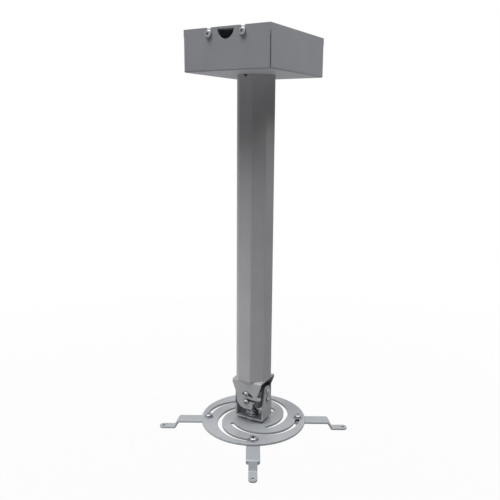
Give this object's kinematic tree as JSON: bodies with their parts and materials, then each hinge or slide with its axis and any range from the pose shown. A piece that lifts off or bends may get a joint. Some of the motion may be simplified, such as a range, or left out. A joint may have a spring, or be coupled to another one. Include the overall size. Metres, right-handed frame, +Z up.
{
  "type": "projector ceiling mount",
  "caption": "Ceiling mount for a projector: boxed ceiling cover, octagonal drop tube, two-axis tilt head and a slotted swivel disc with cranked, adjustable arms.",
  "frame": {"origin": "where the tube's axis meets the ceiling, on the ceiling plate's top face", "axes": "+Z up, X along the cover wall that has the cable notch, the notch faces -Y"},
  "size_m": [0.2532, 0.2532, 0.5825],
  "materials": {
    "cover_paint": "satin",
    "tube_coat": "satin",
    "bracket_paint": "satin",
    "disc_paint": "satin",
    "arm_paint": "satin",
    "block_plating": "bright",
    "screw_plating": "bright"
  },
  "bodies": {
    "base": {"ceiling_plate": "cover_paint", "cover_screw_1": "screw_plating", "cover_screw_2": "screw_plating", "cover_screw_3": "screw_plating", "cover_screw_4": "screw_plating", "tube": "tube_coat", "tube_foot_screw_1": "screw_plating", "tube_foot_screw_2": "screw_plating", "tube_foot_screw_3": "screw_plating", "tube_foot_screw_4": "screw_plating", "tube_top_screw_1": "screw_plating", "tube_top_screw_2": "screw_plating", "tube_top_screw_3": "screw_plating", "tube_top_screw_4": "screw_plating", "upper_yoke": "bracket_paint"},
    "cover": {"ceiling_cover": "cover_paint"},
    "tilt": {"roll_clamp_screw_left": "screw_plating", "roll_clamp_screw_right": "screw_plating", "roll_pivot_screw_left": "screw_plating", "roll_pivot_screw_right": "screw_plating", "tilt_block": "block_plating", "tilt_clamp_screw_back": "screw_plating", "tilt_clamp_screw_front": "screw_plating", "tilt_pivot_screw_back": "screw_plating", "tilt_pivot_screw_front": "screw_plating"},
    "roll": {"lower_bracket": "bracket_paint", "swivel_bolt": "screw_plating", "swivel_nut": "screw_plating", "swivel_spacer": "screw_plating", "swivel_washer_lower": "screw_plating", "swivel_washer_upper": "screw_plating"},
    "disc": {"arm_disc": "disc_paint"},
    "carriage_right": {"arm_screw_right": "screw_plating", "arm_washer_right": "screw_plating", "arm_nut_right": "screw_plating"},
    "arm_right": {"arm_right": "arm_paint"},
    "carriage_back": {"arm_screw_back": "screw_plating", "arm_washer_back": "screw_plating", "arm_nut_back": "screw_plating"},
    "arm_back": {"arm_back": "arm_paint"},
    "carriage_left": {"arm_screw_left": "screw_plating", "arm_washer_left": "screw_plating", "arm_nut_left": "screw_plating"},
    "arm_left": {"arm_left": "arm_paint"},
    "carriage_front": {"arm_screw_front": "screw_plating", "arm_washer_front": "screw_plating", "arm_nut_front": "screw_plating"},
    "arm_front": {"arm_front": "arm_paint"}
  },
  "joints": [
    {"name": "cover_slide", "type": "slide", "parent": "base", "child": "cover", "axis": [0, 0, -1], "range_m": [0, 0.44]},
    {"name": "head_tilt", "type": "hinge", "parent": "base", "child": "tilt", "pos_m": [0, 0, -0.5292], "axis": [0.0436, -0.999, 0], "range_deg": [-22, 22]},
    {"name": "head_roll", "type": "hinge", "parent": "tilt", "child": "roll", "pos_m": [0, 0, -0.5164], "axis": [0.999, 0.0436, 0], "range_deg": [-15, 15]},
    {"name": "disc_swivel", "type": "hinge", "parent": "roll", "child": "disc", "pos_m": [0, 0, -0.56625], "axis": [0, 0, 1], "continuous": true},
    {"name": "arm_right_travel", "type": "hinge", "parent": "disc", "child": "carriage_right", "pos_m": [0.01295, 0.0099, -0.56625], "axis": [0, 0, -1], "range_deg": [0, 50]},
    {"name": "arm_right_swing", "type": "hinge", "parent": "carriage_right", "child": "arm_right", "pos_m": [0.05963, 0.03499, -0.56625], "axis": [0, 0, 1], "range_deg": [-35, 35]},
    {"name": "arm_back_travel", "type": "hinge", "parent": "disc", "child": "carriage_back", "pos_m": [-0.0099, 0.01295, -0.56625], "axis": [0, 0, -1], "range_deg": [0, 50]},
    {"name": "arm_back_swing", "type": "hinge", "parent": "carriage_back", "child": "arm_back", "pos_m": [-0.03499, 0.05963, -0.56625], "axis": [0, 0, 1], "range_deg": [-35, 35]},
    {"name": "arm_left_travel", "type": "hinge", "parent": "disc", "child": "carriage_left", "pos_m": [-0.01295, -0.0099, -0.56625], "axis": [0, 0, -1], "range_deg": [0, 50]},
    {"name": "arm_left_swing", "type": "hinge", "parent": "carriage_left", "child": "arm_left", "pos_m": [-0.05963, -0.03499, -0.56625], "axis": [0, 0, 1], "range_deg": [-35, 35]},
    {"name": "arm_front_travel", "type": "hinge", "parent": "disc", "child": "carriage_front", "pos_m": [0.0099, -0.01295, -0.56625], "axis": [0, 0, -1], "range_deg": [0, 50]},
    {"name": "arm_front_swing", "type": "hinge", "parent": "carriage_front", "child": "arm_front", "pos_m": [0.03499, -0.05963, -0.56625], "axis": [0, 0, 1], "range_deg": [-35, 35]}
  ]
}
